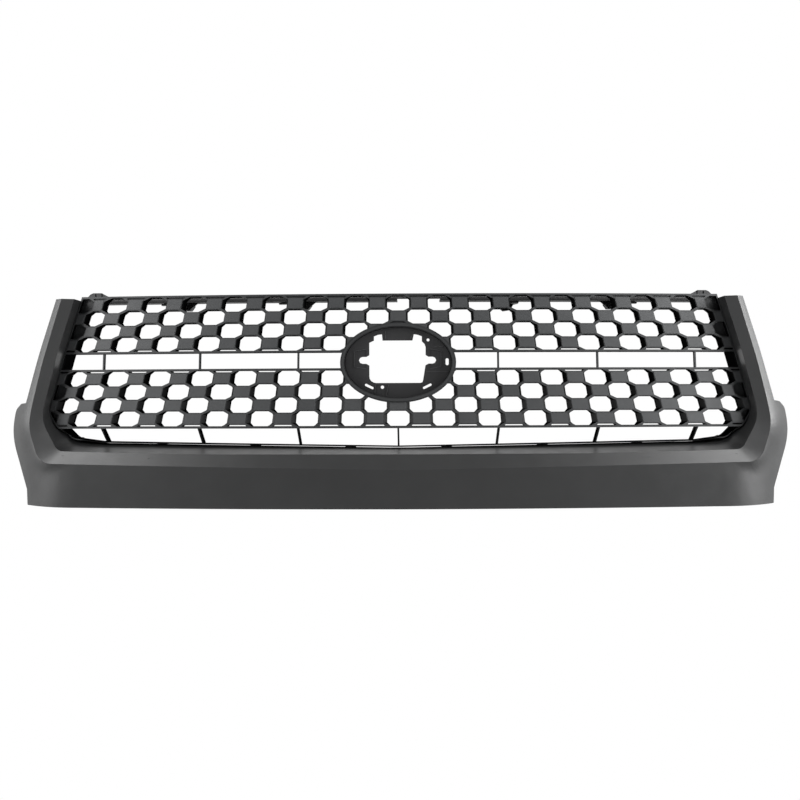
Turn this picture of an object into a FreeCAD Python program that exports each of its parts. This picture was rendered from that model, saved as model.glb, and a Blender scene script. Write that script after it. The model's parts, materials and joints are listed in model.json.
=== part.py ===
import FreeCAD, Part
import Sketcher
import math
import os

Vector = FreeCAD.Vector

# ---------------------------------------------------------------- driving dimensions, millimetres
# Heights are measured from the centre of the oval emblem collar, depths from the mesh front there.
# X points to the right of someone who faces the grille, the front faces -Y, +Z is up.
SIZES = [
    ("plan_radius", 4760, "plan curvature of the whole front"),
    ("rake_angle", 6.4, "lean of the mesh, top to the rear, degrees"),
    ("fan_apex", 1900, "height at which the mesh columns would meet"),
    ("column_pitch", 35.85, "half of the distance between two holes of a row, at height 0"),
    ("column_count", 16, "columns on each side of the middle one"),
    ("row_pitch_upper", 21.9, "row distance in the upper block"),
    ("row_pitch_lower", 22.3, "row distance in the lower block"),
    ("lowest_upper_row", 32.9, "height of the lowest row of the upper block"),
    ("highest_lower_row", -24.65, "height of the highest row of the lower block"),
    ("mouth_width", 43.8, "front mouth of an octagon hole, across, at height 0"),
    ("mouth_corner_width", 10.8, "corner cut of the mouth, across"),
    ("mouth_corner_height", 5.5, "corner cut of the mouth, high"),
    ("edge_depth", 1.2, "depth of the chamfer round the mouth and of its upper and lower part"),
    ("edge_side", 0.5, "chamfer at the sides of the mouth"),
    ("throat_depth", 13.5, "from the mesh front back to the narrowest part of a hole"),
    ("throat_width", 36.4, "throat of an octagon hole, across"),
    ("throat_corner", 5.4, "corner cut of the throat"),
    ("hole_height", 24.6, "octagon hole, high"),
    ("tile_skin", 3.0, "thickness of a tile face"),
    ("lattice_wall", 2.0, "wall round the hollow back of a tile"),
    ("lattice_depth", 21, "depth of the lattice"),
    ("bar_gap", 0, "from the edge of a hole to the bar beside it"),
    ("bar_thickness", 3.4, "horizontal bars of the mesh"),
    ("lip_height", 3.4, "lip of the mesh above its top row"),
    ("lip_recess", 2.5, "recesses in the lip above the tiles"),
    ("rib_spacing", 164.2, "distance between the upright ribs of the two gaps"),
    ("rib_thickness", 2.8, "upright ribs"),
    ("middle_rib_depth", 7, "depth of the ribs in the middle gap"),
    ("lower_rib_depth", 12, "depth of the ribs in the lower gap"),
    ("lower_rib_slope", 1.3, "how far the lower ribs run back for each mm down"),
    ("rim_depth", 50, "depth of the perimeter wall"),
    ("rim_forward", 12, "how far the perimeter's lower stretch stands in front of the lower ribs"),
    ("rim_wall", 2.5, "thickness of the perimeter wall"),
    ("rim_step", 0.4, "the bead and the skirt of the perimeter wall are thinner by this"),
    ("rim_clearance", 0.8, "between the perimeter wall and the surround"),
    ("pocket_depth", 9, "depth of the closed pockets of the last columns"),
    ("pocket_floor", 2.5, "floor of the closed pockets"),
    ("side_trim", 9, "how much narrower the last but one columns are on their outer side"),
    ("collar_width", 190, "oval collar, across"),
    ("collar_height", 132.2, "oval collar, high"),
    ("collar_wall", 7.4, "rim of the oval collar"),
    ("collar_chamfer", 2.4, "chamfer of the collar's front rim"),
    ("collar_proud", 3.0, "how far the collar stands in front of the mesh"),
    ("seat_recess", 13, "from the mesh front back to the emblem base"),
    ("seat_clearance", 0.3, "between the emblem base and the collar"),
    ("ledge_thickness", 3.0, "ledge behind the emblem base"),
    ("ledge_width", 7.0, "ledge behind the emblem base"),
    ("lug_radius", 8.0, "screw lugs of the ledge"),
    ("peg_radius", 4.0, "pegs of the emblem base that stand in the lugs"),
    ("pad_recess", 1.0, "shallow recesses of the emblem base"),
    ("base_thickness", 3.0, "emblem base plate"),
    ("surround_wall", 3.0, "wall of the surround"),
    ("opening_proud", 28, "how far the opening's edge stands in front of the mesh"),
    ("crease_proud", 36, "how far the crease stands in front of the mesh"),
    ("leg_wall_back", 12, "rear end of the inner wall at the legs, behind the mesh front"),
    ("bar_wall_back", 42, "rear end of the inner wall at the bottom bar"),
    ("leg_top", 108, "height of the upper end of the legs"),
    ("bottom_edge", -234, "height of the lowest edge"),
    ("wing_half_width", 649.4, "half width to the corner of the wing's outline"),
    ("skirt_half_width", 620, "half width of the skirt below the wings"),
    ("flange_width", 22, "return flange along the bottom edge"),
    ("flange_rise", 3.0, "underside of the return flange above the bottom edge"),
    ("boss_radius", 5, "screw bosses"),
    ("screw_radius", 2, "shank of the screws"),
    ("screw_clearance", 0.2, "round a screw shank, on the radius"),
    ("screw_head_radius", 4.5, "pan head"),
    ("screw_head_height", 2.8, "pan head"),
    ("boss_inset", 12.5, "from the edge of the opening to a boss"),
    ("tab_width", 18, "fixing tabs of the insert"),
    ("tab_thickness", 3.0, "fixing tabs of the insert"),
    ("tab_gap", 3.0, "from the end of the inner wall to a tab"),
    ("shelf_top", 112, "height of the top of the rail's shelf"),
    ("shelf_depth", 58, "depth of the shelf"),
    ("shelf_thickness", 3.0, "thickness of the shelf"),
    ("shelf_half_width", 524, "half width of the shelf"),
    ("apron_thickness", 3.0, "front apron of the rail and its screw tabs"),
    ("apron_bottom", 105.4, "height of the lower edge of the rail's front apron"),
    ("rail_seat", 31, "depth of the mesh's rail bosses"),
    ("rail_gap", 0.3, "between the rail bosses and the rail"),
    ("bolt_half_spacing", 270, "half distance of the two upper bolt holes"),
    ("bolt_hole_radius", 3.5, "upper and lower bolt holes"),
    ("bolt_inset", 28, "from the shelf's front edge to the bolt holes"),
    ("lower_bolt_half_spacing", 255, "half distance of the two lower bolt holes"),
    ("notch_left", -2, "latch notch in the shelf"),
    ("notch_right", 71, "latch notch in the shelf"),
    ("notch_web", 5, "shelf left in front of the latch notch"),
    ("retainer_offset", 24, "from the middle of a bracket's tile out to its retainer"),
    ("retainer_depth", 46, "retainers behind the mesh front"),
    ("retainer_radius", 3.6, "stem of a retainer"),
    ("retainer_head", 8.0, "head radius of a retainer"),
    ("clip_clearance", 0.15, "round the stems of retainers and clips, on the radius"),
    ("ear_thickness", 3.0, "upright ears"),
    ("ear_reach", 24.5, "from the screw of an ear out to its outer end"),
    ("ear_height", 12.5, "top of an ear above the shelf top"),
    ("slit_depth", 2.0, "depth of the blind slits in an ear"),
    ("ear_foot", 20, "foot of an ear, front to back"),
    ("nut_bore", 3.0, "thread radius of the side nuts"),
    ("side_tab_height", 24, "fixing tabs at the upper ends of the legs"),
    ("side_tab_thickness", 3, "fixing tabs at the upper ends of the legs"),
    ("side_tab_depth", 68, "rear end of the fixing tabs behind the mesh front"),
    ("side_hole_radius", 4.5, "hole of a side tab for its nut"),
    ("ear_setback", 34, "front of an ear behind the mesh front"),
]

doc = FreeCAD.newDocument("FrontGrille")
sheet = doc.addObject("Spreadsheet::Sheet", "Sizes")
for row_number, (alias, value, meaning) in enumerate(SIZES, start=1):
    sheet.set("A%d" % row_number, alias)
    sheet.set("B%d" % row_number, str(value))
    sheet.set("C%d" % row_number, meaning)
    sheet.setAlias("B%d" % row_number, alias)
doc.recompute()


def size(alias):
    """A driving dimension, read from the sheet."""
    return float(sheet.get(alias))


RAKE = math.radians(size("rake_angle"))
NEAR = -400.0          # planes well in front of and behind the whole part
FAR = 400.0


# ---------------------------------------------------------------- the common front surface
def plan_depth(x):
    """How far the curved front has gone back at a distance x from the middle."""
    radius = size("plan_radius")
    return radius - math.sqrt(radius * radius - x * x)


def front_depth(x, z):
    """Depth of the mesh front at (x, z)."""
    return plan_depth(x) + math.tan(RAKE) * z


def raked_cylinder(depth, slope_angle, pivot_height):
    """Everything behind a front that is curved in plan and leans by slope_angle.

    Its foremost line passes through the depth given at pivot_height.
    """
    radius = size("plan_radius") / math.cos(slope_angle)
    axis = Vector(0, math.sin(slope_angle), math.cos(slope_angle))
    inward = Vector(0, math.cos(slope_angle), -math.sin(slope_angle))
    half_length = 700.0
    base = Vector(0, depth, pivot_height) + inward * radius - axis * half_length
    return Part.makeCylinder(radius, 2 * half_length, base, axis)


def behind_front(offset):
    return raked_cylinder(offset, RAKE, 0)


def polygon(points, depth=NEAR):
    """A closed outline in an XZ plane."""
    corners = [Vector(x, depth, z) for x, z in points]
    return Part.makePolygon(corners + [corners[0]])


def layer(prism, front_offset, back_offset):
    """The stretch of a prism between two depths behind the mesh front."""
    return prism.common(behind_front(front_offset).cut(behind_front(back_offset)))


def set_back_layer(prism, front_offset, back_offset):
    """The same stretch, turned back below the mesh to meet the slanting ribs."""
    shell = behind_front(front_offset).common(lower_front()).cut(behind_front(back_offset))
    return prism.common(shell)


# ---------------------------------------------------------------- outlines of the surround, right half
def rounded_path(corners):
    """Straight runs through (x, z, radius) corners, each rounded by its radius."""
    edges = []
    start = Vector(corners[0][0], NEAR, corners[0][1])
    for index in range(1, len(corners) - 1):
        x, z, radius = corners[index]
        corner = Vector(x, NEAR, z)
        following = Vector(corners[index + 1][0], NEAR, corners[index + 1][1])
        arriving = (corner - start).normalize()
        leaving = (following - corner).normalize()
        turn = arriving.getAngle(leaving)
        setback = radius * math.tan(turn / 2)
        arc_start = corner - arriving * setback
        arc_end = corner + leaving * setback
        bisector = (leaving - arriving).normalize()
        middle = corner + bisector * (radius / math.cos(turn / 2) - radius)
        edges.append(Part.makeLine(start, arc_start))
        edges.append(Part.Arc(arc_start, middle, arc_end).toShape())
        start = arc_end
    edges.append(Part.makeLine(start, Vector(corners[-1][0], NEAR, corners[-1][1])))
    return Part.Wire(edges)


def closed_path(path, top):
    """A right half path, its mirror image and a straight top at the given height."""
    start = path.Vertexes[0].Point
    middle = Vector(0, NEAR, top)
    closing = Part.makeLine(middle, start)
    edges = path.Edges + mirrored(path).Edges + [closing, mirrored(closing)]
    return Part.Wire(Part.__sortEdges__(edges))


ABOVE = size("leg_top") + 30

opening_path = rounded_path([
    (528, ABOVE, 0), (561.5, 22, 500), (587, -90, 50), (556, -143.0, 18), (330, -147.4, 900),
    (0, -147.8, 0)])
wall_path = rounded_path([
    (528, ABOVE, 0), (561.5, 22, 500), (587.5, -80, 25), (572, -103, 25), (547, -126.5, 25),
    (500, -132.4, 60), (0, -140.4, 0)])
crease_path = rounded_path([
    (548, ABOVE, 0), (586, -2, 500), (606, -100, 80), (583, -162.5, 30), (0, -172, 0)])
reach_path = rounded_path([
    (570, ABOVE, 0), (606, 20, 300), (632, -50, 50), (666, -95, 50), (668, -150, 100),
    (644, size("bottom_edge") - 8, 5), (0, size("bottom_edge") - 8, 0)])


class Station:
    """One cross-section place along the U: a ray from the mesh outwards."""

    def __init__(self, x, z, angle):
        self.x = x
        self.z = z
        self.angle = angle
        self.along = Vector(math.cos(angle), 0, -math.sin(angle))
        self.wall = self.crossing(wall_path)
        self.opening = self.crossing(opening_path)
        self.crease = self.crossing(crease_path)
        self.end = self.crossing(reach_path)

    def crossing(self, path):
        """Distance along the ray at which it meets a path."""
        origin = Vector(self.x, NEAR, self.z)
        ray = Part.makeLine(origin, origin + self.along * 400)
        distance, pairs, _ = ray.distToShape(path)
        return (pairs[0][0] - origin).Length

    def point(self, distance, depth):
        return Vector(self.x + self.along.x * distance, depth, self.z + self.along.z * distance)

    def wall_end(self):
        """Distance and depth of the rear end of the inner wall."""
        place = self.point(self.wall, 0)
        back = size("leg_wall_back")
        back += (size("bar_wall_back") - back) * math.sin(self.angle) ** 2
        return self.wall, front_depth(place.x, place.z) + back

    def skin(self):
        """The outer skin, from the rear of the inner wall over the crease to the outer end."""
        place = self.point(self.opening, 0)
        edge = (self.opening, front_depth(place.x, place.z) - size("opening_proud"))
        place = self.point(self.crease, 0)
        ridge = (self.crease, front_depth(place.x, place.z) - size("crease_proud"))
        side = math.cos(self.angle) ** 4
        points = [self.wall_end(), edge, ridge]
        steps = 6
        for step in range(1, steps + 1):
            run = (self.end - self.crease) * step / steps
            x = self.point(self.crease + run, 0).x
            wrap = 0.003 * max(0.0, x - 520) ** 2
            turned = side * (0.62 * run + 0.0065 * run * run)
            facing = (1 - side) * (0.05 * run + wrap)
            points.append((self.crease + run, ridge[1] + turned + facing))
        return points

    def bevel_depth(self, distance):
        """Depth of the bevel between the opening's edge and the crease."""
        _, edge, ridge = self.skin()[:3]
        share = (distance - edge[0]) / (ridge[0] - edge[0])
        return edge[1] + (ridge[1] - edge[1]) * share


def offset_line(points, thickness):
    """The same open line moved to its left by a thickness, mitred at the corners."""
    result = []
    for index, (s, y) in enumerate(points):
        normals = []
        for first, second in ((index - 1, index), (index, index + 1)):
            if 0 <= first and second < len(points):
                run = points[second][0] - points[first][0]
                rise = points[second][1] - points[first][1]
                length = math.hypot(run, rise)
                normals.append((-rise / length, run / length))
        mean_s = sum(n[0] for n in normals) / len(normals)
        mean_y = sum(n[1] for n in normals) / len(normals)
        scale = thickness / (mean_s * mean_s + mean_y * mean_y)
        result.append((s + mean_s * scale, y + mean_y * scale))
    return result


def spline(points):
    curve = Part.BSplineCurve()
    curve.interpolate(points)
    return curve.toShape()


def section_wire(station):
    """Closed cross-section of the surround: thin wall, bevel and curved face."""
    outer = station.skin()
    inner = offset_line(outer, size("surround_wall"))
    outer = [station.point(s, y) for s, y in outer]
    inner = [station.point(s, y) for s, y in inner]
    edges = [
        Part.makeLine(outer[0], outer[1]),
        Part.makeLine(outer[1], outer[2]),
        spline(outer[2:]),
        Part.makeLine(outer[-1], inner[-1]),
        spline(list(reversed(inner[2:]))),
        Part.makeLine(inner[2], inner[1]),
        Part.makeLine(inner[1], inner[0]),
        Part.makeLine(inner[0], outer[0]),
    ]
    return Part.Wire(edges)


FAN_X = 515.0          # the cross-sections of a corner fan out from here
FAN_Z = -95.0


def right_stations():
    leg_heights = [ABOVE - 8] + [size("leg_top") - 20 * n for n in range(9)] + [FAN_Z + 21]
    leg = [Station(FAN_X - 120, z, 0) for z in leg_heights]
    corner = [Station(FAN_X, FAN_Z, math.radians(a)) for a in range(0, 91, 5)]
    bar = [Station(x, FAN_Z, math.pi / 2) for x in (495, 475, 435, 395, 315, 235, 155, 75, 0)]
    return leg + corner + bar


def mirrored(shape):
    return shape.mirror(Vector(0, 0, 0), Vector(1, 0, 0))


stations = right_stations()
leg_offset = FAN_X - 120


def fixing_stations():
    """Where the insert is screwed to the surround, right half."""
    places = [Station(leg_offset, z, 0) for z in (66, -20)]
    places += [Station(FAN_X, FAN_Z, math.radians(a)) for a in (22, 64)]
    places += [Station(x, FAN_Z, math.pi / 2) for x in (400, 240, 80)]
    return places


fixings = fixing_stations()


def tab_depth(station):
    """Depth of the front face of the tab at a fixing."""
    return station.wall_end()[1] + size("tab_gap")


# ---------------------------------------------------------------- surround
def wing_outline():
    """Outline of the surround seen from the front, right half, top to bottom."""
    wing = size("wing_half_width")
    skirt = size("skirt_half_width")
    side = rounded_path([
        (559, ABOVE, 0), (592, 25, 300), (614.5, -64, 0.5), (627, -65.5, 0.5), (wing - 10, -75, 12),
        (wing, -128, 90), (skirt, -208, 3), (skirt, size("bottom_edge"), 1.5),
        (0, size("bottom_edge") - 0.3, 0)])
    return side


def surround_shape():
    right = [section_wire(station) for station in stations]
    left = [mirrored(wire) for wire in reversed(right[:-1])]
    body = Part.makeLoft(right + left, True, False)
    outline = closed_path(wing_outline(), ABOVE)
    prism = Part.Face(outline).extrude(Vector(0, FAR - NEAR, 0))
    lid = Part.makeBox(1600, FAR - NEAR, 100, Vector(-800, NEAR, size("leg_top")))
    body = body.common(prism.cut(lid))
    pieces = [bottom_flange()]
    cores = []
    for station in fixings:
        for boss, core in boss_and_core(station):
            pieces.append(boss)
            cores.append(core)
    for sign in (1, -1):
        pieces.append(side_tab(sign))
    body = body.fuse(pieces)
    body = body.cut(cores + flange_holes() + [side_tab_hole(sign) for sign in (1, -1)])
    return body


def skirt_line(x, inward):
    """A point behind the lower edge of the bottom bar."""
    station = Station(x, FAN_Z, math.pi / 2)
    outer = station.skin()
    bottom = FAN_Z - size("bottom_edge")
    for (s0, y0), (s1, y1) in zip(outer[2:], outer[3:]):
        if s0 <= bottom <= s1:
            depth = y0 + (y1 - y0) * (bottom - s0) / (s1 - s0)
    return Vector(x, depth + inward, size("bottom_edge"))


FLANGE_END = 490.0
flange_steps = [FLANGE_END * step / 5 for step in range(-5, 6)]


def flange_edge(inward):
    points = [skirt_line(abs(x), inward) for x in flange_steps]
    return [Vector(x, p.y, p.z) for x, p in zip(flange_steps, points)]


def bottom_flange():
    front = flange_edge(size("surround_wall") / 2)
    back = flange_edge(size("flange_width"))
    wire = Part.Wire([
        spline(front), Part.makeLine(front[-1], back[-1]),
        spline(list(reversed(back))), Part.makeLine(back[0], front[0])])
    flange = Part.Face(wire).extrude(Vector(0, 0, size("surround_wall")))
    flange.translate(Vector(0, 0, size("flange_rise")))
    return flange


lower_clip_places = (-380, -120, 120, 380)


def flange_middle(x):
    return skirt_line(abs(x), size("flange_width") * 0.6).y


def flange_holes():
    holes = []
    low = size("bottom_edge") - 5
    for x in lower_clip_places:
        radius = size("retainer_radius") + size("clip_clearance")
        holes.append(Part.makeCylinder(radius, 15, Vector(x, flange_middle(x), low)))
    for x in (-size("lower_bolt_half_spacing"), size("lower_bolt_half_spacing")):
        holes.append(Part.makeCylinder(size("bolt_hole_radius"), 15, Vector(x, flange_middle(x), low)))
    return holes


def boss_and_core(station):
    """The boss behind the bevel at a fixing, its screw core, and both mirrored."""
    distance = station.opening + size("boss_inset")
    front = station.bevel_depth(distance) + size("surround_wall") * 0.75
    back = tab_depth(station)
    foot = station.point(distance, front)
    boss = Part.makeCylinder(size("boss_radius"), back - front, foot, Vector(0, 1, 0))
    core_radius = size("screw_radius") + size("screw_clearance")
    core_start = station.point(distance, max(front + 2, back - 18))
    core = Part.makeCylinder(core_radius, back + 5 - core_start.y, core_start, Vector(0, 1, 0))
    return [(boss, core), (mirrored(boss), mirrored(core))]


SIDE_TAB_Z = 88.0
side_station = Station(leg_offset, SIDE_TAB_Z, 0)


def side_tab_place():
    """Outer face position and rear end of the fixing tab at the top of a leg."""
    distance = side_station.opening + 9
    place = side_station.point(distance, 0)
    back = front_depth(place.x, place.z) + size("side_tab_depth")
    return place.x, side_station.bevel_depth(distance) + size("surround_wall") / 2, back


def side_tab(sign):
    x, front, back = side_tab_place()
    height = size("side_tab_height")
    corner = Vector(x, front, SIDE_TAB_Z - height / 2)
    tab = Part.makeBox(size("side_tab_thickness"), back - front, height, corner)
    return tab if sign > 0 else mirrored(tab)


def side_tab_hole(sign):
    x, front, back = side_tab_place()
    place = Vector(x - 8, back - size("side_tab_height") / 2, SIDE_TAB_Z)
    hole = Part.makeCylinder(size("side_hole_radius"), 20, place, Vector(1, 0, 0))
    return hole if sign > 0 else mirrored(hole)


# ---------------------------------------------------------------- mesh insert
def fan(column, z):
    """X of a mesh column at a height: the columns spread downwards."""
    return column * size("column_pitch") * (1 - z / size("fan_apex"))


upper_rows = [size("lowest_upper_row") + size("row_pitch_upper") * n for n in (3, 2, 1, 0)]
lower_rows = [size("highest_lower_row") - size("row_pitch_lower") * n for n in (0, 1, 2, 3)]
# Even or odd columns are holes: both rows beside the middle gap have the same.
upper_parity = [0, 1, 0, 1]
lower_parity = [1, 0, 1, 0]
mesh_rows = list(zip(upper_rows + lower_rows, upper_parity + lower_parity))
half_hole = size("hole_height") / 2
mesh_top = upper_rows[0] + half_hole + size("lip_height")
upper_end = upper_rows[-1] - half_hole - size("bar_gap")
lower_start = lower_rows[0] + half_hole + size("bar_gap")
lower_end = lower_rows[-1] - half_hole - size("bar_gap")
last_column = int(size("column_count"))


def columns(parity):
    return [k for k in range(-last_column, last_column + 1) if k % 2 == parity]


def fan_scale(z):
    return 1 - z / size("fan_apex")


def tangent_outline(column, z, corners, offset):
    """The same outline on the plane that touches a layer of the mesh at the outline's centre."""
    middle = fan(column, z)
    slope = middle / math.sqrt(size("plan_radius") ** 2 - middle ** 2)
    points = []
    for dx, dz in corners:
        x = fan(column, z + dz) + dx
        depth = front_depth(middle, z) + offset + slope * (x - middle) + math.tan(RAKE) * dz
        points.append(Vector(x, depth, z + dz))
    return Part.makePolygon(points + [points[0]])


def tapered(column, z, rings):
    """A cutter that runs through outlines, each given with its offset behind the mesh front."""
    wires = [tangent_outline(column, z, fitted(column, corners), offset) for offset, corners in rings]
    return Part.makeLoft(wires, True, True)


def octagon(width, height, corner_width, corner_height):
    w = width / 2
    h = height / 2
    corners = [(w - corner_width, h), (w, h - corner_height)]
    corners += [(x, -z) for x, z in reversed(corners)]
    return corners + [(-x, -z) for x, z in corners]


def fitted(column, corners):
    """Narrows the last but one column; the last column takes that room and runs out at the side."""
    side = math.copysign(1, column)
    trim = side * size("side_trim")
    run_out = side * 2 * size("column_pitch")
    if abs(column) == last_column - 1:
        return [(dx - trim if dx * side > 0 else dx, dz) for dx, dz in corners]
    if abs(column) == last_column:
        return [(dx + run_out if dx * side > 0 else dx - trim, dz) for dx, dz in corners]
    return corners


def rectangle(width, height):
    return [(width / 2, height / 2), (width / 2, -height / 2),
            (-width / 2, -height / 2), (-width / 2, height / 2)]


BEHIND = 30.0          # cutters end this far behind the mesh front


def hole_cutter(column, z):
    """Octagon hole: a chamfered mouth that narrows to a throat and runs straight from there."""
    height = size("hole_height")
    width = size("mouth_width") * fan_scale(z)
    across = size("mouth_corner_width")
    high = size("mouth_corner_height")
    grow = 1.5
    side = size("edge_side") * grow
    top = size("edge_depth") * grow
    front = octagon(width + 2 * side, height + 2 * top,
                    across + side + top * across / high, high + top + side * high / across)
    mouth = octagon(width, height, across, high)
    throat = octagon(size("throat_width"), height, size("throat_corner"), size("throat_corner"))
    edge = size("edge_depth")
    rings = [(edge * (1 - grow), front), (edge, mouth), (size("throat_depth"), throat), (BEHIND, throat)]
    return tapered(column, z, rings)


def hollow_cutter(column, z):
    """The hollow behind a tile, wider to the rear."""
    pitch = size("row_pitch_upper") if z > 0 else size("row_pitch_lower")
    reach = 2 * size("column_pitch") * fan_scale(z)
    wall = 2 * size("lattice_wall")
    height = 2 * pitch - size("hole_height") - wall
    narrow = rectangle(reach - size("mouth_width") * fan_scale(z) - wall, height)
    wide = rectangle(reach - size("throat_width") - wall, height)
    return tapered(column, z, [(size("tile_skin"), narrow), (BEHIND, wide)])


def pocket_cutters(column, z):
    """A hole of the last column is closed by a floor: a pocket in front and another behind."""
    height = size("hole_height")
    mouth = octagon(size("mouth_width") * fan_scale(z), height,
                    size("mouth_corner_width"), size("mouth_corner_height"))
    floor_back = size("pocket_depth") + size("pocket_floor")
    return [tapered(column, z, [(-1, mouth), (size("pocket_depth"), mouth)]),
            tapered(column, z, [(floor_back, mouth), (BEHIND, mouth)])]


def slot_corners(side, pitch):
    """Thin slot between a tile and the bar beside it; side is +1 above or -1 below."""
    tile_edge = pitch - half_hole
    bar_edge = half_hole + size("bar_gap")
    wide = size("mouth_width") / 2 - size("mouth_corner_width") / 2
    narrow = wide - (bar_edge - tile_edge) * size("mouth_corner_width") / size("mouth_corner_height") / 2
    return [(narrow, side * tile_edge), (wide, side * bar_edge),
            (-wide, side * bar_edge), (-narrow, side * tile_edge)]


def rim_face(inset):
    """What the perimeter of the insert encloses, reduced by an inset."""
    whole = Part.Face(closed_path(wall_path, ABOVE))
    face = whole.makeOffset2D(-size("rim_clearance") - inset)
    above = Part.Face(polygon([(-800, mesh_top), (-800, 300), (800, 300), (800, mesh_top)]))
    return face.cut(above).Faces[0]


def inside_collar(column, z):
    """True where a tile or hole lies wholly within the oval collar."""
    a = size("collar_width") / 2 - size("collar_wall")
    b = size("collar_height") / 2 - size("collar_wall")
    corners = [(fan(column, z) + dx, z + dz) for dx in (-20, 20) for dz in (-11, 11)]
    return all((x / a) ** 2 + (h / b) ** 2 < 1 for x, h in corners)


def mesh_cutters():
    """Everything that opens the lattice: holes, hollows behind tiles, and slots along the bars."""
    upper = size("row_pitch_upper")
    lower = size("row_pitch_lower")
    cutters = []
    for z, parity in mesh_rows:
        for k in columns(parity):
            if abs(k) == last_column:
                cutters += pocket_cutters(k, z)
            elif not inside_collar(k, z):
                cutters.append(hole_cutter(k, z))
        cutters += [hollow_cutter(k, z) for k in columns(1 - parity) if not inside_collar(k, z)]
    edge_rows = [
        (upper_rows[0], upper_parity[0], 1, upper, size("lip_recess")),
        (upper_rows[-1], upper_parity[-1], -1, upper, BEHIND),
        (lower_rows[0], lower_parity[0], 1, lower, BEHIND),
        (lower_rows[-1], lower_parity[-1], -1, lower, BEHIND),
    ]
    for z, parity, side, pitch, depth in edge_rows:
        corners = slot_corners(side, pitch)
        cutters += [tapered(k, z, [(-1, corners), (depth, corners)]) for k in columns(1 - parity)]
    return cutters


def gap_prisms():
    """The long gaps: round the middle and below the bottom bar."""
    bar = size("bar_thickness")
    bands = [(lower_start + bar, upper_end - bar), (-400, lower_end - bar)]
    outlines = [polygon([(-700, high), (700, high), (700, low), (-700, low)]) for low, high in bands]
    return [Part.Face(outline).extrude(Vector(0, FAR - NEAR, 0)) for outline in outlines]


def seen_from_front(shape, face):
    """True where a shape lies wholly within the outline of a face."""
    return all(face.isInside(Vector(v.X, NEAR, v.Z), 0.01, False) for v in shape.Vertexes)


def lattice():
    """The mesh and its perimeter: a curved slab with everything between the walls cut away."""
    slab = Part.Face(rim_face(0).OuterWire).extrude(Vector(0, FAR - NEAR, 0))
    slab = set_back_layer(slab, 0, size("lattice_depth"))
    room_face = rim_face(size("rim_wall"))
    room = room_face.extrude(Vector(0, FAR - NEAR, 0))
    oval = ellipse_prism(size("collar_wall") / 2, NEAR, FAR)
    cutters = [oval]
    for cutter in mesh_cutters():
        if seen_from_front(cutter, room_face):
            cutters.append(cutter)
        else:
            cutters += cutter.common(room).Solids
    cutters += [prism.common(room) for prism in gap_prisms()]
    return slab.cut(cutters)


def lower_front(forward=0.0):
    """Everything behind the front that turns back below the mesh."""
    edge = lower_end - size("bar_thickness")
    slope = -math.atan(size("lower_rib_slope"))
    return raked_cylinder(math.tan(RAKE) * edge - forward, slope, edge)


def rim_strip(front_offset, back_offset):
    """A stretch of the perimeter wall, a little thinner than the lattice's own edge."""
    step = size("rim_step")
    ring = rim_face(step).cut(rim_face(size("rim_wall") - step))
    ring = ring.extrude(Vector(0, FAR - NEAR, 0))
    shell = behind_front(front_offset).common(lower_front(size("rim_forward")))
    return ring.common(shell.cut(behind_front(back_offset)))


def perimeter():
    """Rear skirt of the perimeter wall, which is also its bottom stretch."""
    return [rim_strip(size("lattice_depth") - 6, size("rim_depth"))]


def rib_box(x, low, high, front, back):
    half = size("rib_thickness") / 2
    outline = polygon([(x - half, low), (x + half, low), (x + half, high), (x - half, high)])
    return layer(Part.Face(outline).extrude(Vector(0, FAR - NEAR, 0)), front, back)


def rib_places():
    count = int((fan(last_column, 0)) // size("rib_spacing"))
    return [size("rib_spacing") * n for n in range(-count, count + 1)]


def middle_ribs():
    bar = size("bar_thickness")
    ribs = []
    for x in rib_places():
        if abs(x) > size("collar_width") / 2:
            ribs.append(rib_box(x, lower_start + bar / 2, upper_end - bar / 2,
                                size("edge_depth"), size("edge_depth") + size("middle_rib_depth")))
    return ribs


def lower_ribs():
    """Ribs from the bottom bar down and back to the perimeter."""
    ribs = []
    inner = rim_face(size("rim_wall") * 0.5).extrude(Vector(0, FAR - NEAR, 0))
    edge = lower_end - size("bar_thickness")
    slope = -math.atan(size("lower_rib_slope"))
    depth = size("lower_rib_depth") / math.cos(slope)
    behind = raked_cylinder(math.tan(RAKE) * edge + depth, slope, edge)
    for x in rib_places():
        rib = rib_box(x, -400, lower_end - size("bar_thickness") / 2, size("edge_depth"), 200)
        rib = rib.common(inner).common(lower_front(-size("edge_depth") - 1)).cut(behind)
        ribs.append(rib)
    return ribs


def ellipse_wire(width, height, depth):
    centre = Vector(0, depth, 0)
    curve = Part.Ellipse(centre + Vector(width / 2, 0, 0), centre + Vector(0, 0, height / 2), centre)
    return Part.Wire([curve.toShape()])


def ellipse_prism(inset, front, back):
    width = size("collar_width") - 2 * inset
    height = size("collar_height") - 2 * inset
    return Part.Face(ellipse_wire(width, height, front)).extrude(Vector(0, back - front, 0))


def collar():
    """Oval collar with a chamfered rim that follows the lean of the mesh."""
    wall = size("collar_wall")
    chamfer = size("collar_chamfer")
    proud = -size("collar_proud")
    tube = ellipse_prism(chamfer, NEAR, FAR).cut(ellipse_prism(wall - chamfer * 0.6, NEAR, FAR))
    nose = layer(tube, proud, proud + 2 * chamfer)
    body = ellipse_prism(0, NEAR, FAR).cut(ellipse_prism(wall, NEAR, FAR))
    body = layer(body, proud + chamfer, size("lattice_depth"))
    return [nose, body, ledge()]


emblem_screw_places = [(-66.0, 22.0), (66.0, 22.0), (-66.0, -22.0), (66.0, -22.0)]
base_slot_x = 80.8          # upright slot at the right end of the emblem base
base_slot_low = -1.8
base_slot_high = 4.5
base_slot_width = 5.2


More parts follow.
